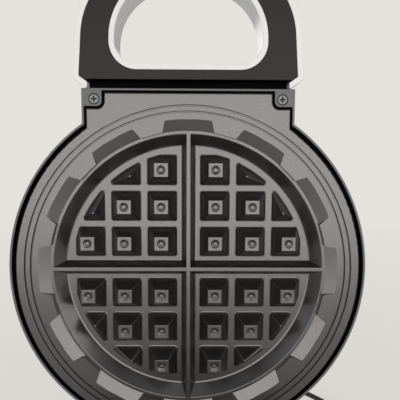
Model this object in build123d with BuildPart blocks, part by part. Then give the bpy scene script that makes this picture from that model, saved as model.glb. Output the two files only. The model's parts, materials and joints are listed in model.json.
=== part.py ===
from build123d import *

import os
from math import atan2, cos, degrees, hypot, pi, radians, sin, sqrt, tan

# Round stuffed waffle maker, its lid standing open against the hinge stop.
# Both halves are drawn in one frame, millimetres: +X across, +Y towards the handle,
# +Z out of the cooking face, zero on the flange. They are then stood in the assembly.

# Stance of the whole cooker
flange_height = 84.0
foot_height = 5.0
open_angle = 102.0
closed_gap = 0.6

# Studs and cross ridges
stud_pitch = 26.0
stud_offset = 19.0
stud_base = 21.0
stud_top = 9.8
stud_height = 11.0
stud_rows = 3
stud_margin = 5.0
stud_ring_slope = 4.2
dimple_radius = 3.1
dimple_depth = 1.1
ridge_top = 2.9
ridge_base = 9.4
ridge_height = 8.0

# Cooking plates, from the cavity out to the edge
floor_radius = 89.0
floor_fillet = 2.2
lower_depth = 27.0
lip_run = 7.0
lip_depth = 3.0
lip_land = 2.2
recess_count = 12
recess_width = 7.8
recess_outer_span = 17.2
recess_inner_span = 21.5
groove_steps = (5.0, 9.2)
groove_width = 0.8
plate_margin = 6.8
plate_wall = 3.0
flange_thickness = 3.5
plate_edge_fillet = 1.2
boss_circle = 60.0
boss_radius = 4.5
boss_length = 12.0

# Bezels
plate_gap = 2.5
plate_neck_gap = 1.3
bezel_edge = 1.5
bezel_side = 6.0
bezel_neck_half = 73.0
bezel_clear = 2.8
skirt_drop = 4.0
skirt_wall = 2.0
lug_width = 13.8
lug_height = 12.1
lug_corner = 3.5
lug_gap = 1.4
lug_screw_inset = (8.5, 7.2)

# Covers and housing
cover_overhang = 0.4
neck_reach = 1.0
neck_seam = 0.5
neck_depth = 30.0
neck_corner = 4.0
shell_wall = 2.5
nest_gap = 0.3
lid_depth = 45.0
lid_crown = 5.0
lid_corner = 18.0
side_draft = 1.9
base_draft = 7.0
base_corner = 8.0
column_radius = 4.0

# Handles
handle_length = 91.0
handle_thickness = 28.0
handle_foot_half = 70.0
handle_root_half = 78.5
handle_tip_half = 72.8
handle_root_step = 6.0
handle_tip_radius = 59.0
handle_back_fillet = 5.0
handle_wall = 3.7
handle_floor = 2.5
grip_start = 15.8
grip_length = 57.2
grip_low_half = 50.6
grip_high_half = 49.6
grip_low_radius = 15.0
grip_high_radius = 40.0
insert_thickness = 3.0
insert_sink = 0.3
insert_gap = 0.25
insert_web = 2.0
step_half = 69.0
step_width = 5.6
step_sink = 9.0
step_sheet = 2.0
peg_levels = (15.0, 38.0)
peg_radius = 1.8
peg_length = 6.0
handle_screw_xs = (20.0, 54.0)
handle_screw_depth = 17.0
handle_boss_length = 11.0

# Hinge
hinge_offset = 14.0
barrel_radius = 8.5
knuckle_half = 36.0
arm_width = 12.0
arm_depth = 26.0
arm_root_depth = 7.5
arm_clear = 0.5
side_gap = 0.4
pin_radius = 2.5
pin_play = 0.05
pin_head_radius = 4.5
pin_head_height = 2.0

# Heating elements, their clips and the heat shields
tube_radius = 3.5
element_radius = 80.0
element_gap_angle = 32.0
element_bend = 10.0
element_tail = 12.0
blade_length = 8.0
blade_half = 3.1
blade_sheet = 0.8
clip_angles = (90, 210, 330)
clip_play = 0.3
clip_sheet = 1.0
clip_foot = 7.0
clip_width = 10.0
shield_step = 2.0
shield_sheet = 0.8
shield_rim = 6.0
lead_hole = 4.0
lead_hole_y = -38.0
lead_radius = 1.2
lead_bend = 4.0
lead_passage = 2.2
lead_passage_depth = 16.0
lead_passage_length = 8.0
lead_entry = 4.0
lead_clear = 9.0

# Fasteners
screw_radius = 1.75
screw_head_radius = 3.5
screw_head_height = 2.0
screw_play = 0.15
screw_length = 12.0
pilot_radius = 1.9
cross_length = 4.0
cross_width = 0.9
cross_depth = 1.2

# Indicator lamps of the lid
lens_radius = 3.0
lens_flange = 4.6
lens_spacing = 20.0
lens_y = 88.0
lens_proud = 1.5
lens_flange_height = 1.2
lens_pad_radius = 6.0
lens_pad_rise = 2.5
lamp_radius = 2.4
lamp_length = 8.0
lamp_gap = 0.3
board_half = 24.0
board_width = 12.0
board_sheet = 1.6
post_x = 20.0
post_radius = 2.2

# Base underside
ring_width = 38.4
ledge_width = 12.0
ledge_lap = 2.0
cover_screw_inset = 6.0
cover_screw_count = 6
cover_boss_height = 8.0
bottom_gap = 0.3
vent_circle = 48.0
vent_count = 12
vent_length = 18.0
vent_width = 3.0
foot_inset = 13.0
foot_radius = 9.0
foot_angle = 25.0
foot_chamfer = 1.0
stem_radius = 3.5
stem_play = 0.15
stem_head_radius = 4.6
stem_head_height = 1.5

# Controls and wiring of the base
thermostat_radius = 8.0
thermostat_height = 10.0
thermostat_flange_half = 15.0
thermostat_flange_sheet = 1.0
fuse_radius = 2.2
fuse_length = 11.0
fuse_x = 30.0
block_length = 30.0
block_width = 16.0
block_height = 14.0
block_y = -62.0
block_hole = 2.0

# Mains lead
cord_radius = 2.5
gland_height = 16.0
gland_boss_half = 12.0
gland_boss_low = 7.0
gland_boss_high = 9.0
gland_boss_height = 18.0
gland_boss_corner = 4.0
gland_boss_proud = 3.6
gland_flange_radius = 9.0
gland_flange_thickness = 2.5
gland_neck_radius = 5.5
gland_neck_play = 0.1
gland_neck_length = 11.0
gland_tip_radius = 3.4
gland_length = 30.0
gland_rib_count = 5
gland_groove = 1.1
cord_bend_share = 0.45
clamp_y = -98.0
clamp_half = 13.0
clamp_width = 8.0
clamp_cap = 3.0
clamp_screw_x = 9.0
coil_turn_gap = 0.6
coil_outer_turn = 30.5
coil_layer_turns = 1.5
plug_neck_length = 24.0
plug_neck_radius = 6.0
plug_length = 32.0
plug_width = 24.0
plug_corner = 4.0
plug_edge = 2.0
blade_spacing = 12.7
blade_reach = 17.0
blade_width = 6.35
blade_thickness = 1.5

# Radii that follow from the cavity outwards
stud_ring_foot = floor_radius - stud_margin
stud_ring_top = stud_ring_foot - stud_ring_slope
lip_radius = floor_radius + lip_run
tab_radius = lip_radius + lip_land
dish_radius = tab_radius + plate_wall
recess_reach = tab_radius + recess_width
groove_radii = [recess_reach + step for step in groove_steps]
plate_radius = groove_radii[-1] + plate_margin
bezel_radius = plate_radius + plate_gap + bezel_edge
bezel_hole = dish_radius + bezel_clear
shield_radius = bezel_hole + shield_step
cover_radius = bezel_radius + cover_overhang
ring_inner = cover_radius - ring_width
ledge_inner = ring_inner - ledge_width
cover_screw_circle = ring_inner - cover_screw_inset
foot_circle = ring_inner + foot_inset

# Depths and places that follow from the values above
upper_depth = stud_height
upper_back = upper_depth + plate_wall
lower_back = lower_depth + plate_wall
base_floor = flange_height - foot_height
hinge_z = closed_gap / 2
hinge_reach = bezel_radius + hinge_offset
neck_end = bezel_radius + neck_reach
bezel_neck_end = neck_end - neck_seam
plate_neck_half = bezel_neck_half - bezel_edge - plate_neck_gap
plate_neck_end = bezel_neck_end - bezel_edge - plate_neck_gap
cover_neck_half = bezel_neck_half + cover_overhang
skirt_slope = base_draft * skirt_drop / (base_floor - bezel_side)
skirt_inset = shell_wall - cover_overhang + nest_gap + skirt_slope
lug_screw_x = bezel_neck_half - lug_screw_inset[0]
lug_screw_y = bezel_neck_end - lug_screw_inset[1]
lug_screws = [(-lug_screw_x, lug_screw_y), (lug_screw_x, lug_screw_y)]
handle_end = neck_end + handle_length
handle_root_end = neck_end + handle_root_step
insert_foot = neck_end + step_width
grip_low = neck_end + grip_start
grip_high = grip_low + grip_length
handle_screws = [(side * x, -handle_screw_depth) for x in handle_screw_xs for side in (-1, 1)]
lens_level = lid_depth + lid_crown * (1 - (lens_y / (cover_radius - side_draft)) ** 2)
lens_seat = shell_wall + lens_pad_rise - lens_level
lamp_level = lens_seat + lens_flange_height + lamp_gap
board_level = lamp_level + lamp_length
lens_places = [(-lens_spacing / 2, lens_y), (lens_spacing / 2, lens_y)]
lead_x = (element_radius - element_bend) * sin(radians(element_gap_angle / 2)) - element_bend
blade_end_y = element_tail + blade_length - (element_radius - element_bend) * cos(radians(element_gap_angle / 2))
arm_lead_x = knuckle_half - arm_width / 2
passage_wall = cover_radius - shell_wall - side_draft * (lead_passage_depth - bezel_side) / (lid_depth - bezel_side)
passage_y = -sqrt(passage_wall**2 - arm_lead_x**2)
gland_face = cover_radius - base_draft + gland_boss_proud
gland_z = gland_height - flange_height

# The box around the open cooker is centred over the origin, so the base stands forward.
lean = radians(open_angle - 90)
rear_reach = hinge_reach + (handle_end + hinge_reach) * sin(lean) + handle_thickness * cos(lean)
base_y = (handle_end - rear_reach) / 2
gland_tip_y = base_y + gland_face + gland_length

base_place = Location((0, base_y, flange_height), (0, 0, 180))
hinge_line = Location((0, base_y + hinge_reach, flange_height + hinge_z))
lid_closed = Location((0, base_y, flange_height + closed_gap), (180, 0, 0))
swing_open = hinge_line * Location((0, 0, 0), (-open_angle, 0, 0)) * hinge_line.inverse()
lid_place = swing_open * lid_closed

# The mains lead lies in these points, chosen by eye, from the gland round to its coil.
cord_route = [(0, gland_tip_y, gland_height), (0, 165, gland_height), (3, 193, 8), (10, 224, cord_radius),
              (28, 257, cord_radius), (62, 283, cord_radius), (96, 293.5, cord_radius),
              (127, 284.5, cord_radius), (151.5, 265.5, cord_radius), (174, 244.8, cord_radius)]


def round_with_neck(radius, neck_half, end):
    """Outline seen on the cooking face: a disc with the straight neck of the handle."""
    with BuildSketch() as outline:
        Circle(radius)
        with Locations((0, end / 2)):
            Rectangle(2 * neck_half, end)
    return outline.sketch


def neck_lugs(grow):
    """The two screw lugs in the corners of the neck, each grown by a gap."""
    width = 2 * (lug_width + grow)
    height = 2 * (lug_height + grow)
    with BuildSketch() as lugs:
        with Locations((-bezel_neck_half, bezel_neck_end), (bezel_neck_half, bezel_neck_end)):
            RectangleRounded(width, height, lug_corner + grow)
    return lugs.sketch


def stud_field(depth):
    """Studs on the floor of the cavity, trimmed by the sloping edge of the pattern."""
    steps = [side * (stud_offset + i * stud_pitch) for side in (-1, 1) for i in range(stud_rows)]
    reach = stud_ring_foot + stud_base / 2
    cells = [(x, y) for x in steps for y in steps if hypot(x, y) < reach]
    taper = degrees(atan2((stud_base - stud_top) / 2, stud_height))
    ball = (dimple_radius**2 + dimple_depth**2) / (2 * dimple_depth)
    with BuildPart() as studs:
        with BuildSketch(Plane.XY.offset(-depth)):
            with Locations(*cells):
                Rectangle(stud_base, stud_base)
        extrude(amount=stud_height, taper=taper)
        with Locations((0, 0, stud_height / 2 - depth)):
            Cone(stud_ring_foot, stud_ring_top, stud_height, mode=Mode.INTERSECT)
        with Locations(*[(x, y, stud_height - depth - dimple_depth + ball) for x, y in cells]):
            Sphere(ball, mode=Mode.SUBTRACT)
    return studs


def recess_cutters():
    """Twelve sloping pockets of the toothed ring, narrower outside than inside."""
    outer = radians(recess_outer_span / 2)
    inner = radians(recess_inner_span / 2)
    far = recess_reach + 1
    near = lip_radius + lip_land / 2
    corners = [(near * cos(inner), -near * sin(inner)), (far * cos(outer), -far * sin(outer)),
               (far * cos(outer), far * sin(outer)), (near * cos(inner), near * sin(inner))]
    with BuildPart() as cutters:
        with BuildSketch(Plane.XZ):
            with BuildLine():
                Polyline((near, -lip_depth), (tab_radius, -lip_depth), (recess_reach, 0), (recess_reach, 1),
                         (near, 1), close=True)
            make_face()
        revolve(axis=Axis.Z)
        with BuildSketch(Plane.XY.offset(-lip_depth - 1)):
            with PolarLocations(0, recess_count, start_angle=90):
                Polygon(*corners, align=None)
        extrude(amount=lip_depth + 3, mode=Mode.INTERSECT)
    return cutters


def ridge_section(depth):
    """Cut across one ridge of the cross."""
    with BuildSketch(Plane.XZ) as ridge:
        with BuildLine():
            Polyline((-ridge_base / 2, -depth), (ridge_base / 2, -depth), (ridge_top / 2, ridge_height - depth),
                     (-ridge_top / 2, ridge_height - depth), close=True)
        make_face()
    return ridge.sketch


def cooking_plate(depth):
    """Cast plate: flange and neck, dished cavity, toothed ring, ridges, studs, bosses."""
    back = depth + plate_wall
    cast_radius = groove_radii[-1] + groove_width
    with BuildPart() as plate:
        with BuildSketch(Plane.XY.offset(-flange_thickness)):
            add(round_with_neck(plate_radius, plate_neck_half, plate_neck_end))
            add(neck_lugs(lug_gap), mode=Mode.SUBTRACT)
        extrude(amount=flange_thickness)
        fillet(plate.faces().sort_by(Axis.Z)[-1].outer_wire().edges(), plate_edge_fillet)
        with BuildSketch(Plane.XY.offset(-flange_thickness)):
            Circle(cast_radius)
        extrude(amount=flange_thickness, mode=Mode.SUBTRACT)
        with BuildSketch(Plane.XZ) as section:
            with BuildLine():
                Polyline((0, -back), (floor_radius + plate_wall, -back), (dish_radius, -flange_thickness),
                         (cast_radius, -flange_thickness), (cast_radius, 0), (tab_radius, 0),
                         (tab_radius, -lip_depth), (lip_radius, -lip_depth), (floor_radius, -depth),
                         (0, -depth), close=True)
            make_face()
            fillet(section.vertices().sort_by_distance((floor_radius, -depth))[0], floor_fillet)
            with Locations(*[(r, 0) for r in groove_radii]):
                Rectangle(groove_width, groove_width, mode=Mode.SUBTRACT)
        revolve(axis=Axis.Z)
        add(recess_cutters().part, mode=Mode.SUBTRACT, clean=False)
        for plane in (Plane.XZ, Plane.YZ):
            with BuildSketch(plane):
                add(ridge_section(depth))
            extrude(amount=lip_radius + lip_land / 2, both=True, clean=False)
        add(stud_field(depth).part, clean=False)
        with BuildSketch(Plane.XY.offset(-back)):
            with PolarLocations(boss_circle, 4, start_angle=45):
                Circle(boss_radius)
                Circle(pilot_radius, mode=Mode.SUBTRACT)
        extrude(amount=-boss_length, clean=False)
    return plate


def bezel():
    """Moulded ring: standing edge, shelf under the flange, skirt in the cover, screw lugs."""
    inner = skirt_inset + skirt_wall
    with BuildPart() as ring:
        with BuildSketch(Plane.XY.offset(-bezel_side)):
            add(round_with_neck(bezel_radius, bezel_neck_half, bezel_neck_end))
        extrude(amount=bezel_side)
        with BuildSketch(Plane.XY.offset(-flange_thickness)):
            add(round_with_neck(bezel_radius - bezel_edge, bezel_neck_half - bezel_edge,
                                bezel_neck_end - bezel_edge))
            add(neck_lugs(0), mode=Mode.SUBTRACT)
        extrude(amount=flange_thickness, mode=Mode.SUBTRACT)
        with BuildSketch(Plane.XY.offset(-bezel_side)):
            add(round_with_neck(bezel_radius - skirt_inset, bezel_neck_half - skirt_inset,
                                bezel_neck_end - skirt_inset))
            add(round_with_neck(bezel_radius - inner, bezel_neck_half - inner, bezel_neck_end - inner),
                mode=Mode.SUBTRACT)
            with Locations(*lug_screws):
                Circle(column_radius + nest_gap, mode=Mode.SUBTRACT)
        extrude(amount=-skirt_drop)
        with BuildSketch(Plane.XY.offset(-bezel_side)):
            Circle(bezel_hole)
        extrude(amount=bezel_side, mode=Mode.SUBTRACT)
        with Locations(*lug_screws):
            CounterBoreHole(screw_radius + screw_play, screw_head_radius + screw_play, screw_head_height)
    return ring


def screws(seat, places, length=screw_length):
    """Cross-head screws: heads standing on the seat plane, shanks running into it."""
    outward = Axis(seat.origin, seat.z_dir)
    with BuildPart() as group:
        with BuildSketch(seat):
            with Locations(*places):
                Circle(screw_head_radius)
        extrude(amount=screw_head_height)
        fillet(group.edges().group_by(outward)[-1], screw_head_height / 3)
        with BuildSketch(seat.offset(screw_head_height)):
            with Locations(*places):
                Rectangle(cross_length, cross_width)
                Rectangle(cross_width, cross_length)
        extrude(amount=-cross_depth, mode=Mode.SUBTRACT)
        with BuildSketch(seat):
            with Locations(*places):
                Circle(screw_radius)
        extrude(amount=-length)
    return group


def facing_down(level):
    """Plane at a level whose outward side is the underside; its Y runs backwards."""
    return Plane(origin=(0, 0, level), x_dir=(1, 0, 0), z_dir=(0, 0, -1))


def on_circle(radius, angles):
    """Points on a circle about the middle, at angles in degrees."""
    return [(radius * cos(radians(a)), radius * sin(radians(a))) for a in angles]


def neck_block(inset):
    """The neck of a cover, from the middle out to the root of the handle, moved inwards."""
    with BuildPart() as block:
        with BuildSketch(Plane.XY.offset(-bezel_side)):
            with Locations((0, (neck_end - inset) / 2)):
                Rectangle(2 * (cover_neck_half - inset), neck_end - inset)
        extrude(amount=inset + bezel_side - neck_depth)
        fillet(block.edges().group_by(Axis.Z)[0].filter_by(Axis.Y), neck_corner - inset)
    return block


def lid_solid(inset):
    """All that lies within the outer face of the lid, moved inwards by an inset."""
    rim = cover_radius - inset
    foot = rim - side_draft
    level = inset - lid_depth
    ball = (foot**2 + lid_crown**2) / (2 * lid_crown)
    middle = level - lid_crown + ball - sqrt(ball**2 - foot**2 / 4)
    with BuildPart() as solid:
        with BuildSketch(Plane.XZ) as section:
            with BuildLine():
                Polyline((0, level - lid_crown), (0, -bezel_side), (rim, -bezel_side), (foot, level))
                ThreePointArc((foot, level), (foot / 2, middle), (0, level - lid_crown))
            make_face()
            fillet(section.vertices().sort_by_distance((foot, level))[0], lid_corner - inset)
        revolve(axis=Axis.Z)
        add(neck_block(inset).part)
    return solid


def base_solid(inset):
    """All that lies within the outer face of the housing, moved inwards by an inset."""
    rim = cover_radius - inset
    foot = rim - base_draft
    level = inset - base_floor
    with BuildPart() as solid:
        with BuildSketch(Plane.XZ) as section:
            with BuildLine():
                Polyline((0, level), (0, -bezel_side), (rim, -bezel_side), (foot, level), close=True)
            make_face()
            fillet(section.vertices().sort_by_distance((foot, level))[0], base_corner - inset)
        revolve(axis=Axis.Z)
        add(neck_block(inset).part)
    return solid


def hinge_arms(inner):
    """Two arms with round eyes, from the wall of a shell out to the hinge line."""
    root = cover_radius - arm_root_depth
    top = -bezel_side - arm_clear
    low = barrel_radius / sqrt(2)
    with BuildPart() as arms:
        for side in (-1, 1):
            with BuildSketch(Plane.YZ.offset(side * (inner + arm_width / 2))):
                with BuildLine():
                    Polyline((-root, top), (barrel_radius - hinge_reach, top),
                             (barrel_radius - hinge_reach, hinge_z), (-barrel_radius - hinge_reach, hinge_z),
                             (-low - hinge_reach, hinge_z - low), (-root, -arm_depth), close=True)
                make_face()
                with Locations((-hinge_reach, hinge_z)):
                    Circle(barrel_radius)
            extrude(amount=arm_width / 2, both=True)
    return arms


def neck_columns():
    """Two columns for the bezel's screws, on the floor of the neck."""
    with BuildPart() as columns:
        with BuildSketch(Plane.XY.offset(shell_wall / 2 - neck_depth)):
            with Locations(*lug_screws):
                Circle(column_radius)
                Circle(pilot_radius, mode=Mode.SUBTRACT)
        extrude(amount=neck_depth - bezel_side - shell_wall / 2)
    return columns


def neck_holes():
    """Holes through the end wall of the neck for the handle's screws."""
    with BuildPart() as holes:
        with BuildSketch(Plane.XZ.offset(-neck_end)):
            with Locations(*handle_screws):
                Circle(screw_radius + screw_play)
        extrude(amount=2 * shell_wall, both=True)
    return holes


def lid_cover():
    """White dome of the lid with its neck, hinge barrel, screw columns and lamp seats."""
    inside_wall = shell_wall / 2 - lens_level
    with BuildPart() as cover:
        add(lid_solid(0).part)
        add(hinge_arms(knuckle_half - arm_width).part)
        with BuildSketch(Plane.YZ):
            with Locations((-hinge_reach, hinge_z)):
                Circle(barrel_radius)
        extrude(amount=knuckle_half, both=True)
        add(lid_solid(shell_wall).part, mode=Mode.SUBTRACT)
        with BuildSketch(Plane.YZ):
            with Locations((-hinge_reach, hinge_z)):
                Circle(pin_radius + pin_play)
        extrude(amount=2 * knuckle_half, both=True, mode=Mode.SUBTRACT)
        add(neck_columns().part)
        add(neck_holes().part, mode=Mode.SUBTRACT)
        with BuildSketch(Plane.XY.offset(inside_wall)):
            with Locations(*lens_places):
                Circle(lens_pad_radius)
        extrude(amount=lens_seat - inside_wall)
        with BuildSketch(Plane.XY.offset(inside_wall)):
            with Locations((-post_x, lens_y), (post_x, lens_y)):
                Circle(post_radius)
        extrude(amount=board_level - inside_wall)
        with BuildSketch(Plane.XY.offset(lens_seat)):
            with Locations(*lens_places):
                Circle(lens_radius + screw_play)
        extrude(amount=-lid_depth, mode=Mode.SUBTRACT)
        with BuildSketch(Plane.XZ.offset(-passage_y - shell_wall)):
            with Locations((-arm_lead_x, -lead_passage_depth), (arm_lead_x, -lead_passage_depth)):
                Circle(lead_passage)
        extrude(amount=lead_passage_length + shell_wall, mode=Mode.SUBTRACT)
    return cover


def base_housing():
    """White body of the base: wall, neck, hinge ears, floor ring, ledge and cord entry."""
    ledge_top = shell_wall - base_floor + shell_wall
    clamp_top = gland_z - cord_radius
    ears = knuckle_half + side_gap
    with BuildPart() as housing:
        add(base_solid(0).part)
        add(hinge_arms(ears).part)
        with BuildSketch(Plane.XZ.offset(gland_face / 2)):
            with Locations((0, gland_z + (gland_boss_high - gland_boss_low) / 2)):
                RectangleRounded(2 * gland_boss_half, gland_boss_height, gland_boss_corner)
        extrude(amount=gland_face / 2)
        add(base_solid(shell_wall).part, mode=Mode.SUBTRACT)
        with BuildSketch(Plane.YZ):
            with Locations((-hinge_reach, hinge_z)):
                Circle(pin_radius + pin_play)
        extrude(amount=2 * (ears + arm_width), both=True, mode=Mode.SUBTRACT)
        add(neck_columns().part)
        add(neck_holes().part, mode=Mode.SUBTRACT)
        with BuildSketch(Plane.XY.offset(shell_wall - base_floor)):
            Circle(ring_inner + ledge_lap)
            with Locations(*cover_screw_places):
                Circle(column_radius)
        extrude(amount=shell_wall)
        with BuildSketch(Plane.XY.offset(ledge_top)):
            with Locations(*cover_screw_places):
                Circle(column_radius)
        extrude(amount=cover_boss_height)
        with BuildSketch(Plane.XY.offset(ledge_top)):
            Circle(ledge_inner)
        extrude(amount=-2 * shell_wall, mode=Mode.SUBTRACT)
        with BuildSketch(Plane.XY.offset(-base_floor)):
            Circle(ring_inner)
        extrude(amount=shell_wall, mode=Mode.SUBTRACT)
        with BuildSketch(Plane.XY.offset(-base_floor)):
            with Locations(*cover_screw_places):
                Circle(pilot_radius)
        extrude(amount=2 * shell_wall + cover_boss_height, mode=Mode.SUBTRACT)
        with BuildSketch(Plane.XY.offset(-base_floor)):
            with Locations(*foot_places):
                Circle(stem_radius + stem_play)
        extrude(amount=shell_wall, mode=Mode.SUBTRACT)
        with BuildSketch(Plane.XY.offset(shell_wall - base_floor)):
            with Locations((0, clamp_y)):
                Rectangle(2 * clamp_half, clamp_width)
                with Locations((-clamp_screw_x, 0), (clamp_screw_x, 0)):
                    Circle(pilot_radius, mode=Mode.SUBTRACT)
        extrude(amount=clamp_top + base_floor - shell_wall)
        with BuildSketch(Plane.XZ.offset(gland_face)):
            with Locations((0, gland_z)):
                Circle(gland_neck_radius + gland_neck_play)
        extrude(amount=-gland_neck_length, mode=Mode.SUBTRACT)
    return housing


def bottom_cover():
    """Plate that closes the housing from below, with a ring of slots for air."""
    with BuildPart() as plate:
        with BuildSketch(Plane.XY.offset(-base_floor)):
            Circle(ring_inner - bottom_gap)
            with Locations(*cover_screw_places):
                Circle(screw_radius + screw_play, mode=Mode.SUBTRACT)
            with PolarLocations(vent_circle, vent_count, start_angle=15):
                SlotOverall(vent_length, vent_width, mode=Mode.SUBTRACT)
        extrude(amount=shell_wall)
    return plate


def rubber_feet():
    """Four round pads, each with a stem and a head buttoned through the floor."""
    with BuildPart() as feet:
        with BuildSketch(Plane.XY.offset(-flange_height)):
            with Locations(*foot_places):
                Circle(foot_radius)
        extrude(amount=foot_height)
        chamfer(feet.edges().group_by(Axis.Z)[0], foot_chamfer)
        with BuildSketch(Plane.XY.offset(-base_floor)):
            with Locations(*foot_places):
                Circle(stem_radius)
        extrude(amount=shell_wall)
        with BuildSketch(Plane.XY.offset(shell_wall - base_floor)):
            with Locations(*foot_places):
                Circle(stem_head_radius)
        extrude(amount=stem_head_height)
    return feet


def handle_outline(inset):
    """Outline of the handle seen on its black face, moved inwards by an inset."""
    with BuildSketch() as outline:
        with BuildLine():
            Polyline((-handle_foot_half, neck_end), (handle_foot_half, neck_end),
                     (handle_root_half, handle_root_end), (handle_tip_half, handle_end),
                     (-handle_tip_half, handle_end), (-handle_root_half, handle_root_end), close=True)
        make_face()
        fillet(outline.vertices().group_by(Axis.Y)[-1], handle_tip_radius)
        if inset:
            offset(amount=-inset)
    return outline.sketch


def grip_outline(grow):
    """Outline of the finger opening, grown outwards into the loop."""
    with BuildSketch() as opening:
        with BuildLine():
            Polyline((-grip_low_half, grip_low), (grip_low_half, grip_low), (grip_high_half, grip_high),
                     (-grip_high_half, grip_high), close=True)
        make_face()
        fillet(opening.vertices().group_by(Axis.Y)[0], grip_low_radius)
        fillet(opening.vertices().group_by(Axis.Y)[-1], grip_high_radius)
        if grow:
            offset(amount=grow)
    return opening.sketch


def peg_places():
    """Four points midway between the handle's outer wall and its finger opening."""
    points = []
    for level in peg_levels:
        outer_share = (grip_low + level - handle_root_end) / (handle_end - handle_root_end)
        outer = handle_root_half + (handle_tip_half - handle_root_half) * outer_share
        inner = grip_low_half + (grip_high_half - grip_low_half) * level / grip_length
        points += [(side * (outer + inner) / 2, grip_low + level) for side in (-1, 1)]
    return points


def handle_shell():
    """White loop: hollow tray round the finger opening, peg sockets, screwed root."""
    floor = handle_floor - handle_thickness
    seat = -insert_sink - insert_thickness
    with BuildPart() as shell:
        with BuildSketch(Plane.XY.offset(-handle_thickness)):
            add(handle_outline(0))
            add(grip_outline(0), mode=Mode.SUBTRACT)
        extrude(amount=handle_thickness)
        back = shell.faces().sort_by(Axis.Z)[0].edges()
        fillet(back.filter_by(lambda edge: edge.center().Y > handle_root_end + 1), handle_back_fillet)
        with BuildSketch(Plane.XY.offset(floor)):
            add(handle_outline(handle_wall))
            add(grip_outline(handle_wall), mode=Mode.SUBTRACT)
        extrude(amount=-floor, mode=Mode.SUBTRACT)
        with BuildSketch(Plane.XY.offset(-step_sink)):
            with Locations((0, neck_end)):
                Rectangle(2 * step_half, 2 * handle_wall + insert_gap)
        extrude(amount=step_sink, mode=Mode.SUBTRACT)
        with BuildSketch(Plane.XY.offset(floor)):
            with Locations(*peg_places()):
                Circle(column_radius)
        extrude(amount=seat - floor)
        with BuildSketch(Plane.XY.offset(seat)):
            with Locations(*peg_places()):
                Circle(peg_radius + screw_play)
        extrude(amount=-peg_length - insert_gap, mode=Mode.SUBTRACT)
        with BuildSketch(Plane.XZ.offset(-neck_end)):
            with Locations(*handle_screws):
                Circle(column_radius)
        extrude(amount=-handle_boss_length)
        with BuildSketch(Plane.XZ.offset(-neck_end)):
            with Locations(*handle_screws):
                Circle(pilot_radius)
        extrude(amount=-screw_length, mode=Mode.SUBTRACT)
    return shell


def handle_insert():
    """Black face of the handle: sheet in the tray, step down at the root, four pegs."""
    inset = handle_wall + insert_gap
    low = -insert_sink - insert_thickness
    with BuildPart() as insert:
        with BuildSketch(Plane.XY.offset(low)):
            add(handle_outline(inset))
            add(grip_outline(inset), mode=Mode.SUBTRACT)
            with Locations((0, insert_foot - step_width)):
                Rectangle(4 * step_half, 2 * step_width, mode=Mode.SUBTRACT)
        extrude(amount=insert_thickness)
        with BuildSketch(Plane.YZ):
            with BuildLine():
                Polyline((neck_end, -step_sink), (insert_foot + insert_web, -step_sink),
                         (insert_foot + insert_web, -insert_sink), (insert_foot, -insert_sink),
                         (insert_foot, step_sheet - step_sink), (neck_end, step_sheet - step_sink), close=True)
            make_face()
        extrude(amount=step_half - insert_gap, both=True)
        with BuildSketch(Plane.XY.offset(low)):
            with Locations(*peg_places()):
                Circle(peg_radius)
        extrude(amount=-peg_length)
    return insert


def hinge_pin():
    """Steel pin through both ears and the barrel, with a head at each end."""
    outside = knuckle_half + side_gap + arm_width
    with BuildPart() as pin:
        with BuildSketch(Plane.YZ):
            with Locations((-hinge_reach, hinge_z)):
                Circle(pin_radius)
        extrude(amount=outside, both=True)
        for side in (-1, 1):
            with BuildSketch(Plane.YZ.offset(side * outside)):
                with Locations((-hinge_reach, hinge_z)):
                    Circle(pin_head_radius)
            extrude(amount=side * pin_head_height)
        fillet(pin.edges().group_by(Axis.X)[0] + pin.edges().group_by(Axis.X)[-1], pin_head_height / 2)
    return pin


def heating_element(back):
    """Tube bent in an open ring against the plate, its ends turned in to two blades."""
    gap = element_gap_angle / 2
    level = -back - tube_radius
    start = Plane.XY.offset(level)
    with BuildPart() as element:
        with BuildLine(start) as route:
            ring = CenterArc((0, 0), element_radius, gap - 90, 360 - 2 * gap)
            right = JernArc(ring @ 0, -(ring % 0), element_bend, -90 - gap)
            left = JernArc(ring @ 1, ring % 1, element_bend, 90 + gap)
            tails = [Line(bend @ 1, bend @ 1 + Vector(0, element_tail, 0)) for bend in (right, left)]
        with BuildSketch(Plane(origin=tails[0] @ 1, z_dir=-(tails[0] % 1))):
            Circle(tube_radius)
        sweep(path=route.wires()[0])
        with BuildSketch(Plane.XZ.offset(-(tails[0] @ 1).Y)):
            with Locations((-lead_x, level), (lead_x, level)):
                Rectangle(2 * blade_half, blade_sheet)
        extrude(amount=-blade_length)
    return element


def element_clips(back):
    """Three sheet straps that hold the element's tube against the plate."""
    bore = tube_radius + clip_play
    with BuildPart() as clips:
        for angle in clip_angles:
            centre = on_circle(element_radius, [angle])[0]
            across = Plane(origin=(*centre, -back), x_dir=(*centre, 0), z_dir=(centre[1], -centre[0], 0))
            with BuildSketch(across):
                Rectangle(2 * (bore + clip_sheet + clip_foot), clip_sheet, align=(Align.CENTER, Align.MAX))
                Rectangle(2 * (bore + clip_sheet), tube_radius, align=(Align.CENTER, Align.MAX))
                with Locations((0, -tube_radius)):
                    Circle(bore + clip_sheet)
                    Circle(bore, mode=Mode.SUBTRACT)
                Rectangle(2 * bore, tube_radius, align=(Align.CENTER, Align.MAX), mode=Mode.SUBTRACT)
                with Locations((0, bore)):
                    Rectangle(8 * bore, 2 * bore, mode=Mode.SUBTRACT)
            extrude(amount=clip_width / 2, both=True)
    return clips


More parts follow.
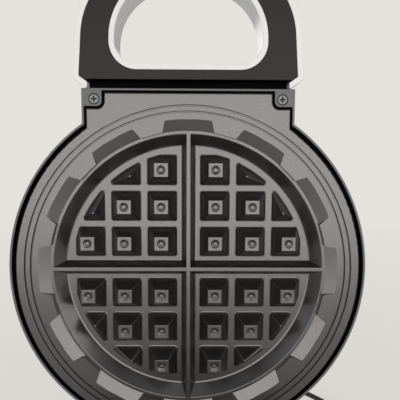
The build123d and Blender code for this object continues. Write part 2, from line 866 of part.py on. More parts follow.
def heat_shield(back):
    """Pressed pan round the element: floor screwed to the plate, rim under the bezel."""
    floor = -back - boss_length
    wall = shield_radius + shield_sheet
    edge = shield_radius + shield_rim
    with BuildPart() as shield:
        with BuildSketch(Plane.XZ):
            with BuildLine():
                Polyline((0, floor - shield_sheet), (wall, floor - shield_sheet),
                         (wall, -bezel_side - shield_sheet), (edge, -bezel_side - shield_sheet),
                         (edge, -bezel_side), (shield_radius, -bezel_side), (shield_radius, floor),
                         (0, floor), close=True)
            make_face()
        revolve(axis=Axis.Z)
        with PolarLocations(boss_circle, 4, start_angle=45):
            Hole(screw_radius + screw_play)
        with Locations((-lead_x, lead_hole_y), (lead_x, lead_hole_y)):
            Hole(lead_hole)
    return shield


def lead(points, bend=lead_bend):
    """One insulated wire along straight runs with round bends."""
    with BuildPart() as wire:
        with BuildLine() as route:
            FilletPolyline(*points, radius=bend)
        with BuildSketch(Plane(origin=route.line @ 0, z_dir=route.line % 0)):
            Circle(lead_radius)
        sweep(path=route.wires()[0])
    return wire


def leads(routes):
    """A loom of insulated wires."""
    with BuildPart() as loom:
        for route in routes:
            add(lead(route).part)
    return loom


def indicator_lenses():
    """Two clear domed lenses, each with a flange that sits on its pad inside the cover."""
    with BuildPart() as lenses:
        with BuildSketch(Plane.XY.offset(lens_seat)):
            with Locations(*lens_places):
                Circle(lens_flange)
        extrude(amount=lens_flange_height)
        with BuildSketch(Plane.XY.offset(lens_seat)):
            with Locations(*lens_places):
                Circle(lens_radius)
        extrude(amount=-lens_seat - lens_level - lens_proud)
        fillet(lenses.edges().group_by(Axis.Z)[0], lens_radius / 3)
    return lenses


def lamp_board():
    """Small board on two posts of the cover, behind the lenses."""
    with BuildPart() as board:
        with BuildSketch(Plane.XY.offset(board_level)):
            with Locations((0, lens_y)):
                RectangleRounded(2 * board_half, board_width, lens_radius / 2)
        extrude(amount=board_sheet)
    return board


def indicator_lamps():
    """Two lamps hanging from the board towards the lenses."""
    with BuildPart() as lamps:
        with BuildSketch(Plane.XY.offset(lamp_level)):
            with Locations(*lens_places):
                Circle(lamp_radius)
        extrude(amount=lamp_length)
        fillet(lamps.edges().group_by(Axis.Z)[0], lamp_radius / 2)
    return lamps


def thermostat(back):
    """Round thermostat with a sheet flange against the back of the plate."""
    with BuildPart() as switch:
        with BuildSketch(Plane.XY.offset(-back)):
            RectangleRounded(2 * thermostat_flange_half, thermostat_radius, thermostat_radius / 3)
            Circle(thermostat_radius)
        extrude(amount=-thermostat_flange_sheet)
        with BuildSketch(Plane.XY.offset(-back)):
            Circle(thermostat_radius)
        extrude(amount=-thermostat_height)
        fillet(switch.edges().group_by(Axis.Z)[0], 1)
    return switch


def thermal_fuse(back):
    """Small cartridge fuse lying against the back of the plate."""
    with BuildPart() as fuse:
        with BuildSketch(Plane.YZ.offset(fuse_x - fuse_length / 2)):
            with Locations((0, -back - fuse_radius)):
                Circle(fuse_radius)
        extrude(amount=fuse_length)
        with BuildSketch(Plane.YZ.offset(fuse_x - fuse_length)):
            with Locations((0, -back - fuse_radius)):
                Circle(fuse_radius / 4)
        extrude(amount=2 * fuse_length)
    return fuse


def terminal_block():
    """Moulded block on the bottom cover, with three wire holes."""
    low = shell_wall - base_floor
    with BuildPart() as block:
        with BuildSketch(Plane.XY.offset(low)):
            with Locations((0, block_y)):
                RectangleRounded(block_length, block_width, block_hole)
        extrude(amount=block_height)
        with BuildSketch(Plane.XY.offset(low + block_height)):
            with Locations(*[(x, block_y) for x in (-lead_x, 0, lead_x)]):
                Circle(block_hole)
        extrude(amount=-block_height / 2, mode=Mode.SUBTRACT)
    return block


def strain_relief():
    """Rubber sleeve of the mains lead: neck in the wall, flange, ribbed taper."""
    inner = gland_neck_length - gland_face
    flange = -gland_face - gland_flange_thickness
    tip = -gland_face - gland_length
    step = (gland_length - gland_flange_thickness) / (gland_rib_count + 1)
    with BuildPart() as sleeve:
        with BuildSketch(Plane.YZ) as section:
            with BuildLine():
                Polyline((inner, gland_z), (inner, gland_z + gland_neck_radius),
                         (-gland_face, gland_z + gland_neck_radius), (-gland_face, gland_z + gland_flange_radius),
                         (flange, gland_z + gland_flange_radius), (flange, gland_z + gland_neck_radius),
                         (tip, gland_z + gland_tip_radius), (tip, gland_z), close=True)
            make_face()
            for rib in range(gland_rib_count):
                share = (rib + 1) / (gland_rib_count + 1)
                radius = gland_neck_radius + (gland_tip_radius - gland_neck_radius) * share
                with Locations((flange - (rib + 1) * step, gland_z + radius)):
                    Rectangle(gland_groove, 2 * gland_groove, mode=Mode.SUBTRACT)
        revolve(axis=Axis((0, 0, gland_z), (0, 1, 0)))
    return sleeve


def inner_cord():
    """Sheathed end of the mains lead, from the strain relief to the terminal block."""
    near = block_y - block_width / 2
    far = gland_neck_length - gland_face
    with BuildPart() as cord:
        with BuildSketch(Plane.XZ.offset(-near)):
            with Locations((0, gland_z)):
                Circle(cord_radius)
        extrude(amount=near - far)
    return cord


def cord_clamp():
    """Bar screwed down over the mains lead, with a channel for it."""
    bore = cord_radius + screw_play
    with BuildPart() as clamp:
        with BuildSketch(Plane.XZ.offset(-clamp_y)):
            with Locations((0, gland_z - cord_radius)):
                Rectangle(2 * clamp_half, 2 * cord_radius + clamp_cap, align=(Align.CENTER, Align.MIN))
                Rectangle(2 * bore, cord_radius, align=(Align.CENTER, Align.MIN), mode=Mode.SUBTRACT)
            with Locations((0, gland_z)):
                Circle(bore, mode=Mode.SUBTRACT)
        extrude(amount=clamp_width / 2, both=True)
        with Locations(*[(x, y, gland_z + cord_radius + clamp_cap) for x, y in clamp_screw_places]):
            Hole(screw_radius + screw_play)
    return clamp


def bend_radii(points):
    """For each inner corner of a route, the largest round bend that its two runs allow."""
    radii = []
    for before, corner, after in zip(points, points[1:], points[2:]):
        into = Vector(corner) - Vector(before)
        out = Vector(after) - Vector(corner)
        half_turn = radians(into.get_angle(out)) / 2
        radii.append(cord_bend_share * min(into.length, out.length) / tan(half_turn))
    return radii


def power_cord():
    """Free stretch of the mains lead, from the strain relief to the coil."""
    radii = bend_radii(cord_route)
    print("cord bend radii, mm:", [round(radius, 1) for radius in radii])
    with BuildPart() as cord:
        with BuildLine() as route:
            FilletPolyline(*cord_route, radius=radii)
        with BuildSketch(Plane(origin=route.line @ 0, z_dir=route.line % 0)):
            Circle(cord_radius)
        sweep(path=route.wires()[0])
    length = route.wires()[0].length
    print("cord tube:", round(length, 1), "mm, volume over section times length:",
          round(cord.part.volume / (pi * cord_radius**2 * length), 4))
    return cord


# The coil starts where the route ends and turns clockwise seen from above.
coil_pitch = 2 * cord_radius + coil_turn_gap
coil_slope = coil_pitch / (2 * pi)
coil_layer_angle = 2 * pi * coil_layer_turns
coil_angle = 2 * coil_layer_angle + pi
coil_entry = Vector(cord_route[-1])
coil_heading = (coil_entry - Vector(cord_route[-2])).normalized()
coil_first = coil_entry + coil_heading * 2 * cord_radius
coil_start_angle = atan2(coil_heading.Y, coil_heading.X) + pi / 2 + atan2(coil_slope, coil_outer_turn)
coil_centre = coil_first - Vector(cos(coil_start_angle), sin(coil_start_angle)) * coil_outer_turn


def coil_point(angle):
    """Point of the cord after winding through an angle: in, up a layer, and out again."""
    climb = angle - coil_layer_angle
    out = climb - pi
    inner = coil_outer_turn - coil_slope * coil_layer_angle
    if climb < 0:
        radius, height = coil_outer_turn - coil_slope * angle, 0
    elif out < 0:
        radius, height = inner - coil_slope * (climb - climb**2 / pi), coil_pitch * (1 - cos(climb)) / 2
    else:
        radius, height = inner + coil_slope * out, coil_pitch
    turned = coil_start_angle - angle
    return coil_centre + Vector(radius * cos(turned), radius * sin(turned), height)


def coil_direction(angle):
    """Heading of the cord after winding through an angle."""
    step = 0.001
    return (coil_point(angle + step) - coil_point(angle - step)).normalized()


def biarc(start, start_heading, end, end_heading):
    """Two arcs that leave one point and reach the next with the given headings."""
    across = end - start
    along = across.dot(start_heading + end_heading)
    spread = 2 * (1 - start_heading.dot(end_heading))
    reach = (sqrt(along**2 + spread * across.dot(across)) - along) / spread
    joint = (start + end + (start_heading - end_heading) * reach) / 2
    turn = (end - end_heading * reach) - (start + start_heading * reach)
    TangentArc(start, joint, tangent=start_heading)
    TangentArc(joint, end, tangent=turn.normalized())


def cord_coil():
    """Put-away length of the lead: two layers of turns, wound as one unbroken tube."""
    quarters = [i * pi / 2 for i in range(round(2 * coil_angle / pi) + 1)]
    last = coil_point(quarters[-1])
    last_heading = coil_direction(quarters[-1])
    with BuildPart() as coil:
        with BuildLine() as route:
            Line(coil_entry, coil_first)
            for a, b in zip(quarters, quarters[1:]):
                biarc(coil_point(a), coil_direction(a), coil_point(b), coil_direction(b))
            Line(last, last + last_heading * 2 * cord_radius)
        with BuildSketch(Plane(origin=coil_entry, z_dir=coil_heading)):
            Circle(cord_radius)
        sweep(path=route.wires()[0])
    wire = route.wires()[0]
    samples = [wire.position_at(i / 600) for i in range(601)]
    apart = round(600 * 6 * cord_radius / wire.length)
    least = min((samples[i] - samples[j]).length for i in range(601) for j in range(i + apart, 601))
    print("coil tube:", round(wire.length, 1), "mm, least gap to itself:", round(least - 2 * cord_radius, 2))
    return coil


plug_heading = coil_direction(coil_angle)
plug_start = coil_point(coil_angle) + plug_heading * 2 * cord_radius
plug_plane = Plane(origin=plug_start, x_dir=(-plug_heading.Y, plug_heading.X, 0), z_dir=plug_heading)


def plug_body():
    """Moulded two-pin plug lying on the floor, with its tapered neck on the cord."""
    with BuildPart() as plug:
        with BuildSketch(plug_plane):
            Circle(gland_tip_radius)
        with BuildSketch(plug_plane.offset(plug_neck_length)):
            Circle(plug_neck_radius)
        loft()
        with BuildSketch(plug_plane.offset(plug_neck_length)):
            RectangleRounded(plug_width, 2 * plug_start.Z, plug_corner)
        extrude(amount=plug_length)
        along = Axis(plug_start, plug_heading)
        fillet(plug.edges().group_by(along)[-1], plug_edge)
    return plug


def plug_blades():
    """Two flat blades of the plug."""
    with BuildPart() as blades:
        with BuildSketch(plug_plane.offset(plug_neck_length + plug_length)):
            with Locations((-blade_spacing / 2, 0), (blade_spacing / 2, 0)):
                Rectangle(blade_thickness, blade_width)
        extrude(amount=blade_reach)
        chamfer(blades.edges().group_by(Axis(plug_start, plug_heading))[-1], blade_thickness / 4)
    return blades


def keep(piece, name, place=Location()):
    """Stand a finished piece in the assembly, name it and write its file."""
    piece.part = piece.part.moved(place)
    piece.part.label = name
    export_step(piece.part, f"parts/{name}.step")


os.makedirs("parts", exist_ok=True)

foot_places = on_circle(foot_circle, [side + turn for side in (90, 270) for turn in (-foot_angle, foot_angle)])
boss_places = on_circle(boss_circle, range(45, 360, 90))
cover_screw_places = on_circle(cover_screw_circle, range(0, 360, 360 // cover_screw_count))
clamp_screw_places = [(-clamp_screw_x, clamp_y), (clamp_screw_x, clamp_y)]
handle_seat = Plane.XZ.offset(shell_wall - neck_end)
clamp_seat = Plane.XY.offset(gland_z + cord_radius + clamp_cap)

# Pieces that both halves have, each with its own depth of cavity
for half, place, depth in (("upper", lid_place, upper_depth), ("lower", base_place, lower_depth)):
    back = depth + plate_wall
    shield_under = facing_down(-back - boss_length - shield_sheet)
    keep(cooking_plate(depth), f"{half}_plate", place)
    keep(bezel(), f"{half}_bezel", place)
    keep(screws(Plane.XY.offset(-screw_head_height), lug_screws), f"{half}_bezel_screws", place)
    keep(heating_element(back), f"{half}_element", place)
    keep(element_clips(back), f"{half}_element_clips", place)
    keep(heat_shield(back), f"{half}_heat_shield", place)
    keep(screws(shield_under, boss_places, boss_length), f"{half}_shield_screws", place)
    keep(handle_shell(), f"{half}_handle", place)
    keep(handle_insert(), f"{half}_handle_insert", place)
    keep(screws(handle_seat, handle_screws), f"{half}_handle_screws", place)

# Lid
under_shield = -upper_back - boss_length - shield_sheet - lead_passage
lid_lead_routes = [[(side * lead_x, blade_end_y, -upper_back - tube_radius),
                    (side * lead_x, lead_hole_y, -upper_back - tube_radius),
                    (side * lead_x, lead_hole_y, under_shield),
                    (side * arm_lead_x, passage_y + lead_clear, under_shield),
                    (side * arm_lead_x, passage_y + lead_clear, -lead_passage_depth),
                    (side * arm_lead_x, passage_y - lead_entry, -lead_passage_depth)] for side in (-1, 1)]
keep(lid_cover(), "lid_cover", lid_place)
keep(indicator_lenses(), "indicator_lenses", lid_place)
keep(lamp_board(), "lamp_board", lid_place)
keep(indicator_lamps(), "indicator_lamps", lid_place)
keep(leads(lid_lead_routes), "lid_leads", lid_place)

# Base
block_top = shell_wall - base_floor + block_height
lead_drop = (block_top - lower_back - boss_length) / 2
base_lead_routes = [[(side * lead_x, blade_end_y, -lower_back - tube_radius),
                     (side * lead_x, lead_hole_y, -lower_back - tube_radius),
                     (side * lead_x, lead_hole_y, lead_drop), (side * lead_x, block_y, lead_drop),
                     (side * lead_x, block_y, block_top - lead_entry)] for side in (-1, 1)]
keep(base_housing(), "base_housing", base_place)
keep(bottom_cover(), "bottom_cover", base_place)
keep(screws(facing_down(-base_floor), cover_screw_places), "bottom_cover_screws", base_place)
keep(rubber_feet(), "rubber_feet", base_place)
keep(hinge_pin(), "hinge_pin", base_place)
keep(thermostat(lower_back), "thermostat", base_place)
keep(thermal_fuse(lower_back), "thermal_fuse", base_place)
keep(terminal_block(), "terminal_block", base_place)
keep(leads(base_lead_routes), "base_leads", base_place)
keep(inner_cord(), "inner_cord", base_place)
keep(cord_clamp(), "cord_clamp", base_place)
keep(screws(clamp_seat, clamp_screw_places), "cord_clamp_screws", base_place)
keep(strain_relief(), "strain_relief", base_place)

# Mains lead
keep(power_cord(), "power_cord")
keep(cord_coil(), "cord_coil")
keep(plug_body(), "plug_body")
keep(plug_blades(), "plug_blades")
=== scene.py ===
# %% [markdown]
# # Dressing a stuffed waffle maker
# The shapes of this cooker come from a CAD model. This lesson takes them as a fixed
# frame and gives them their looks: cast edges, finishes, a cord, light and a camera.
# Everything is in metres, +Z is up, and the handles point along -Y.

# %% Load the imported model
import json
from math import acos, atan2, cos, pi, radians, sin, tan

import bmesh
import bpy
from mathutils import Matrix, Vector


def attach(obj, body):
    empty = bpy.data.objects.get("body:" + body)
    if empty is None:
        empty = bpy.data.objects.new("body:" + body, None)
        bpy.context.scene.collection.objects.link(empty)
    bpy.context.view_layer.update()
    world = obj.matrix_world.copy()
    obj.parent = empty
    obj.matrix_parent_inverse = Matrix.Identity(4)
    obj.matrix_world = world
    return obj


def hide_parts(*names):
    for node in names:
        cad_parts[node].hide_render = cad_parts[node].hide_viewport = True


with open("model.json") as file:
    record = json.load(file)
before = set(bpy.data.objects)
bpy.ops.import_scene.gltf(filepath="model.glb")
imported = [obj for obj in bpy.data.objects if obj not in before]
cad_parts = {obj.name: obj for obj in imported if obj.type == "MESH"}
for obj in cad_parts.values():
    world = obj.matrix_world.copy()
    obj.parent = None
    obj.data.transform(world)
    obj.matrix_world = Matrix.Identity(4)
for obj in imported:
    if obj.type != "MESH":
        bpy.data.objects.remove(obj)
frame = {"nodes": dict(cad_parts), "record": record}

nodes = frame["nodes"]
bodies = frame["record"]["behaviour"]["bodies"]
body_of = {node: body for body, members in bodies.items() for node in members}
slot_of = {name: piece.data.materials[0].name.split(".")[0] for name, piece in nodes.items()}
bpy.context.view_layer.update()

# %% [markdown]
# ## The two halves
# Base and lid are mirror twins that share one drawing: u across, v towards the handle,
# w out of the cooking face, zero on the flange. Two matrices stand that drawing in the
# room, so one recipe serves both cooking plates.

# %% Where each half stands
MM = 0.001
BASE_CENTRE = Vector((0, -11.910259, 84.0)) * MM
HINGE_LINE = Vector((0, 128.089741, 84.3)) * MM
OPEN_ANGLE = radians(102.0)

base_stand = Matrix.Translation(BASE_CENTRE) @ Matrix.Rotation(pi, 4, "Z")
lid_closed = Matrix.Translation(BASE_CENTRE + Vector((0, 0, 0.6 * MM))) @ Matrix.Rotation(pi, 4, "X")
lid_stand = (Matrix.Translation(HINGE_LINE) @ Matrix.Rotation(-OPEN_ANGLE, 4, "X")
             @ Matrix.Translation(-HINGE_LINE) @ lid_closed)
stands = {"base": base_stand, "lid": lid_stand}
print("lid plate centre", [round(x, 4) for x in lid_stand.translation])

# %% [markdown]
# ## Camera
# The camera stands where the photograph was taken from: low over the base, looking
# slightly down into the open lid. A 36 mm lens on a 36 mm sensor gives its framing.

# %% Camera
CAMERA_PLACE = Vector((5.1181, -99.1201, 351.5932)) * MM
CAMERA_LOOK = Vector((0.01095484, 0.95665314, -0.29102364))
CAMERA_UP = Vector((-0.00324552, 0.29107359, 0.95669516))

lens = bpy.data.cameras.new("camera")
lens.lens = 36.0
lens.sensor_width = 36.0
lens.clip_start = 0.01
camera = bpy.data.objects.new("camera", lens)
camera.matrix_world = Matrix.Translation(CAMERA_PLACE) @ Matrix(
    (CAMERA_LOOK.cross(CAMERA_UP), CAMERA_UP, -CAMERA_LOOK)).transposed().to_4x4()
bpy.context.scene.collection.objects.link(camera)
bpy.context.scene.camera = camera
print("camera looks down by", round(90 - acos(-CAMERA_LOOK.z) * 180 / pi, 1), "degrees")

# %% [markdown]
# ## Mains cord
# The lead leaves the back of the base, drops to the counter, runs round behind the
# cooker and is wound into a small coil. A NURBS line is the right tool: its control
# points are the few places a hand would lay the cord through, and the curve between
# them bends as evenly as the real jacket does. A coil asks for more points a turn.

# %% Points of the cord
CORD_RADIUS = 2.5
CORD_EXIT = (0, 141.09, 16)
ROUTE = [CORD_EXIT, (0, 165, 16), (3, 193, 8), (10, 224, 2.5), (28, 257, 2.5), (62, 283, 2.5),
         (96, 293.5, 2.5), (127, 284.5, 2.5), (151.5, 265.5, 2.5), (174, 244.8, 2.5)]
COIL_RADIUS = 30.5
COIL_TURNS = 3.5
TURN_SHIFT = 5.6
COIL_STRAIGHT = 5.0
STEPS_A_TURN = 16


def coil_points():
    """Control points of the coil: inward below, half a turn up, outward on top.

    They stand a little outside the coil, since the curve runs inside its control points.
    """
    heading = Vector((ROUTE[-1][0] - ROUTE[-2][0], ROUTE[-1][1] - ROUTE[-2][1])).normalized()
    first = Vector(ROUTE[-1][:2]) + COIL_STRAIGHT * heading
    shrink = TURN_SHIFT / (2 * pi)
    start = atan2(heading.y, heading.x) + pi / 2 + atan2(shrink, COIL_RADIUS)
    centre = first - COIL_RADIUS * Vector((cos(start), sin(start)))
    stretch = 1 / cos(pi / STEPS_A_TURN)
    climb_start = 3 * pi
    inner = COIL_RADIUS - shrink * climb_start
    points = []
    for step in range(int(COIL_TURNS * STEPS_A_TURN) + 1):
        angle = 2 * pi * step / STEPS_A_TURN
        climb = min(max(angle - climb_start, 0), pi)
        outward = max(angle - climb_start - pi, 0)
        radius = COIL_RADIUS - shrink * min(angle, climb_start)
        if climb:
            radius = inner - shrink * (climb - climb ** 2 / pi) + shrink * outward
        height = CORD_RADIUS + TURN_SHIFT * (1 - cos(climb)) / 2
        reach = radius * stretch
        points.append((centre.x + reach * cos(start - angle),
                       centre.y + reach * sin(start - angle), height))
    leave = Vector((sin(start - angle), -cos(start - angle), 0))
    points[-1] = tuple(Vector((centre.x + radius * cos(start - angle),
                               centre.y + radius * sin(start - angle), height)))
    points.append(tuple(Vector(points[-1]) + COIL_STRAIGHT * leave))
    return points


cord_points = ROUTE + coil_points()
print(len(cord_points), "control points; the cord ends at", [round(x, 1) for x in cord_points[-1]])

# %% [markdown]
# Blender grows a curve's box by the radius of its points, so the points get a tenth of
# the cord's radius and the bevel makes up for it.

# %% Cord curve
BEVEL_SHARE = 10.0
cord_line = bpy.data.curves.new("mains_cord", "CURVE")
cord_line.dimensions = "3D"
cord_line.bevel_depth = BEVEL_SHARE
cord_line.bevel_resolution = 4
cord_line.resolution_u = 8
cord_line.use_fill_caps = True
spline = cord_line.splines.new("NURBS")
spline.points.add(len(cord_points) - 1)
for point, place in zip(spline.points, cord_points):
    point.co = (*[x * MM for x in place], 1)
    point.radius = CORD_RADIUS * MM / BEVEL_SHARE
spline.order_u = 3
spline.use_endpoint_u = True
mains_cord = bpy.data.objects.new("mains_cord", cord_line)
bpy.context.scene.collection.objects.link(mains_cord)
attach(mains_cord, "base")
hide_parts("power_cord", "cord_coil")
print("cord of", spline.point_count_u, "points, order", spline.order_u)

# %% [markdown]
# ## Light and stage
# A plain pale floor and broad soft lamps, as in a product studio. Dark satin metal only
# shows its shape by what it mirrors, so one wide softbox stands in front, where the open
# lid mirrors it. Weaker lamps at the sides, above and behind keep the white shells
# readable from those sides too.

# %% Floor
FLOOR_HALF = 6.0
FLOOR_DROP = 0.1
floor_mesh = bpy.data.meshes.new("floor")
floor_mesh.from_pydata([(-FLOOR_HALF, -FLOOR_HALF, 0), (FLOOR_HALF, -FLOOR_HALF, 0),
                        (FLOOR_HALF, FLOOR_HALF, 0), (-FLOOR_HALF, FLOOR_HALF, 0)], [], [(0, 1, 2, 3)])
floor_mesh.transform(Matrix.Translation((0, 0, -FLOOR_DROP * MM)))
floor = bpy.data.objects.new("floor", floor_mesh)
bpy.context.scene.collection.objects.link(floor)

# %% Soft lamps: place, aim, width and height in metres, watts, colour
LAMPS = {
    "softbox": ((0.10, -1.75, 0.85), (0, 0.12, 0.24), (3.2, 1.6), 33.0, (1.0, 0.99, 0.97)),
    "right": ((1.7, -0.2, 0.7), (0, 0.1, 0.25), (1.2, 1.0), 5.0, (1.0, 1.0, 0.99)),
    "left": ((-1.7, -0.4, 0.8), (0, 0.1, 0.2), (1.4, 1.2), 2.0, (0.97, 0.98, 1.0)),
    "overhead": ((0.1, 0.5, 1.9), (0, 0.1, 0.2), (1.4, 1.4), 2.5, (1.0, 1.0, 1.0)),
    "rear": ((-0.9, 1.8, 1.0), (0, 0.1, 0.15), (2.2, 1.5), 15.0, (1.0, 1.0, 1.0)),
}
for name, (place, aim, (wide, high), watts, colour) in LAMPS.items():
    lamp = bpy.data.lights.new(name, "AREA")
    lamp.shape, lamp.size, lamp.size_y, lamp.energy, lamp.color = "RECTANGLE", wide, high, watts, colour
    lamp_object = bpy.data.objects.new(name, lamp)
    direction = Vector(aim) - Vector(place)
    turn = direction.to_track_quat("-Z", "Y").to_matrix().to_4x4()
    lamp_object.matrix_world = Matrix.Translation(place) @ turn
    bpy.context.scene.collection.objects.link(lamp_object)
bpy.context.scene.view_settings.view_transform = "Standard"
print(len(LAMPS), "lamps,", sum(watts for *_, watts, _ in LAMPS.values()), "watts together")

# %% [markdown]
# ## A small language for finishes
# A finish is a node tree. Wiring one by hand hides what it means, so two small helpers
# let it be written as sums: a `Wire` is one output socket that can be added, subtracted
# and multiplied, and `Finish.node` adds any other node in one line.


# %% Wire and Finish
class Wire:
    """An output socket of a finish, for use in Python arithmetic."""

    def __init__(self, finish, socket):
        self.finish, self.socket = finish, socket

    def maths(self, operation, *values):
        return self.finish.node("ShaderNodeMath", {"operation": operation}, dict(enumerate(values)))

    def __add__(self, other):
        return self.maths("ADD", self, other)

    def __sub__(self, other):
        return self.maths("SUBTRACT", self, other)

    def __rsub__(self, other):
        return self.maths("SUBTRACT", other, self)

    def __mul__(self, other):
        return self.maths("MULTIPLY", self, other)

    __radd__, __rmul__ = __add__, __mul__


class Finish:
    """A material and the nodes that vary it over a surface."""

    def __init__(self, name, **constants):
        self.material = bpy.data.materials.new(name)
        self.material.use_nodes = True
        self.tree = self.material.node_tree
        self.shader = self.tree.nodes["Principled BSDF"]
        for socket, value in constants.items():
            self.shader.inputs[socket.replace("_", " ")].default_value = value
        self.spot = self.node("ShaderNodeTexCoord", output="Object")

    def node(self, kind, settings=None, sockets=None, output=0):
        node = self.tree.nodes.new(kind)
        for name, value in (settings or {}).items():
            if name == "stops":
                for element, (position, grey) in zip(node.color_ramp.elements, value):
                    element.position, element.color = position, (grey, grey, grey, 1)
            else:
                setattr(node, name, value)
        for key, value in (sockets or {}).items():
            if isinstance(value, Wire):
                self.tree.links.new(value.socket, node.inputs[key])
            else:
                node.inputs[key].default_value = value
        return Wire(self, node.outputs[output])

    def feed(self, **inputs):
        for socket, wire in inputs.items():
            self.tree.links.new(wire.socket, self.shader.inputs[socket.replace("_", " ")])
        return self

    def grain(self, size, detail=2.0, stretch=(1, 1, 1)):
        """Noise from 0 to 1 whose blotches are about size millimetres."""
        place = self.node("ShaderNodeVectorMath", {"operation": "MULTIPLY"}, {0: self.spot, 1: stretch})
        return self.node("ShaderNodeTexNoise",
                         sockets={"Vector": place, "Scale": 1 / (size * MM), "Detail": detail})

    def between(self, value, low, high):
        """Zero below low, one above high, and a ramp from one to the other."""
        return self.node("ShaderNodeValToRGB", {"stops": ((low, 0), (high, 1))}, {0: value})

    def blend(self, mask, dark, light):
        """A colour from dark to light as the mask goes from 0 to 1."""
        return self.node("ShaderNodeMix", {"data_type": "RGBA"}, {0: mask, 6: dark, 7: light}, 2)

    def bumps(self, height, depth):
        """Small relief of about depth millimetres from a height from 0 to 1."""
        return self.node("ShaderNodeBump", sockets={"Distance": depth * MM, "Height": height})

    def sunk(self, start, end):
        """Zero near the flange of either half, one deeper than end millimetres below it."""
        levels = []
        for stand in stands.values():
            out = stand.col[2].xyz
            level = self.node("ShaderNodeVectorMath", {"operation": "DOT_PRODUCT"},
                              {0: self.spot, 1: out}, "Value")
            levels.append(level - out.dot(stand.translation))
        depth = levels[0].maths("MINIMUM", *levels) * (-0.1 / MM)
        return self.between(depth, start * 0.1, end * 0.1)


def tone(red, green=None, blue=None):
    """A colour from one grey or three values."""
    return (red, red if green is None else green, red if blue is None else blue, 1.0)


# %% [markdown]
# ## Floor and world
# The camera sees a pale studio, and the floor melts into it further out; near the cooker
# enough of the real floor is left to carry its shadow. To the object itself the floor and
# the world are greyer, so that the dark plates keep their depth.

# %% Floor and world finish
BACKDROP = tone(0.77, 0.76, 0.725)
FLOOR_GREY = tone(0.55, 0.545, 0.53)
NEAR_GLOW, MELT_START, MELT_END = 0.6, 0.2, 1.0
floor_finish = Finish("stage_floor", Roughness=0.8)
seen = floor_finish.node("ShaderNodeLightPath", output="Is Camera Ray")
floor_finish.feed(Base_Color=floor_finish.blend(seen, FLOOR_GREY, BACKDROP))
distance = floor_finish.node("ShaderNodeVectorMath", {"operation": "LENGTH"}, {0: floor_finish.spot}, "Value")
far_off = floor_finish.between(distance * 0.5, MELT_START / 2, MELT_END / 2) * (1 - NEAR_GLOW) + NEAR_GLOW
glow = floor_finish.node("ShaderNodeEmission", sockets={"Color": BACKDROP})
mixed = floor_finish.node("ShaderNodeMixShader", sockets={0: far_off * seen, 2: glow})
floor_finish.tree.links.new(floor_finish.shader.outputs[0], mixed.socket.node.inputs[1])
floor_finish.tree.links.new(mixed.socket, floor_finish.tree.nodes["Material Output"].inputs["Surface"])
floor.data.materials.append(floor_finish.material)

world = bpy.data.worlds.new("studio")
bpy.context.scene.world = world
world.use_nodes = True
sky = world.node_tree.nodes["Background"]
backdrop = world.node_tree.nodes.new("ShaderNodeBackground")
path = world.node_tree.nodes.new("ShaderNodeLightPath")
chosen = world.node_tree.nodes.new("ShaderNodeMixShader")
sky.inputs["Color"].default_value = tone(0.62, 0.63, 0.65)
sky.inputs["Strength"].default_value = 0.40
backdrop.inputs["Color"].default_value = BACKDROP
world.node_tree.links.new(path.outputs["Is Camera Ray"], chosen.inputs[0])
world.node_tree.links.new(sky.outputs[0], chosen.inputs[1])
world.node_tree.links.new(backdrop.outputs[0], chosen.inputs[2])
world.node_tree.links.new(chosen.outputs[0], world.node_tree.nodes["World Output"].inputs["Surface"])

# %% [markdown]
# ## Finishes of the cooker
# The plates are cast aluminium under a dark non-stick coat with fine metal flakes. The
# bezels are satin grey plastic, the handle faces black and the shells white plastic.
# Inside there are plain working finishes: sheet steel, sleeve, nylon, brass.

# %% Coated and moulded finishes
finishes = {}
# Black painted as the shade in the deep, narrow gaps of bezels and handle faces.
PAINTED_GAP_SHADE = tone(0.002)


def plate_coating():
    """Dark satin coat: fine bright flakes, and clouds in its gloss."""
    finish = Finish("plate_coating_finish")
    flakes = finish.between(finish.grain(0.16, 1), 0.54, 0.72)
    clouds = finish.grain(60, 3)
    finish.feed(Base_Color=finish.blend(flakes, tone(0.125, 0.120, 0.118), tone(0.27, 0.262, 0.258)),
                Metallic=flakes * 0.05 + 0.93,
                Roughness=clouds * 0.08 + 0.24 - flakes * 0.04,
                Normal=finish.bumps(finish.grain(0.3, 1), 0.003))
    return finish


def moulded(name, dark, light, rough, grain_size, depth, shade_depths=None):
    """Moulded plastic or rubber: faint colour clouds and the grain of its mould.

    Given a pair of depths below the flange, in millimetres, it turns black and fully metallic between them:
    painted shade for the narrow gaps beside the plates and under the handles.
    """
    finish = Finish(name)
    clouds = finish.grain(35, 2)
    colour = finish.blend(clouds, dark, light)
    if shade_depths:
        # Painted shade: below the given depths the colour goes black and the finish fully metallic, so these
        # parts neither scatter nor mirror light.
        low = finish.sunk(*shade_depths)
        colour = finish.blend(low, colour, PAINTED_GAP_SHADE)
        finish.feed(Metallic=low)
    finish.feed(Base_Color=colour,
                Roughness=clouds * 0.06 + (rough - 0.03),
                Normal=finish.bumps(finish.grain(grain_size, 2), depth))
    return finish


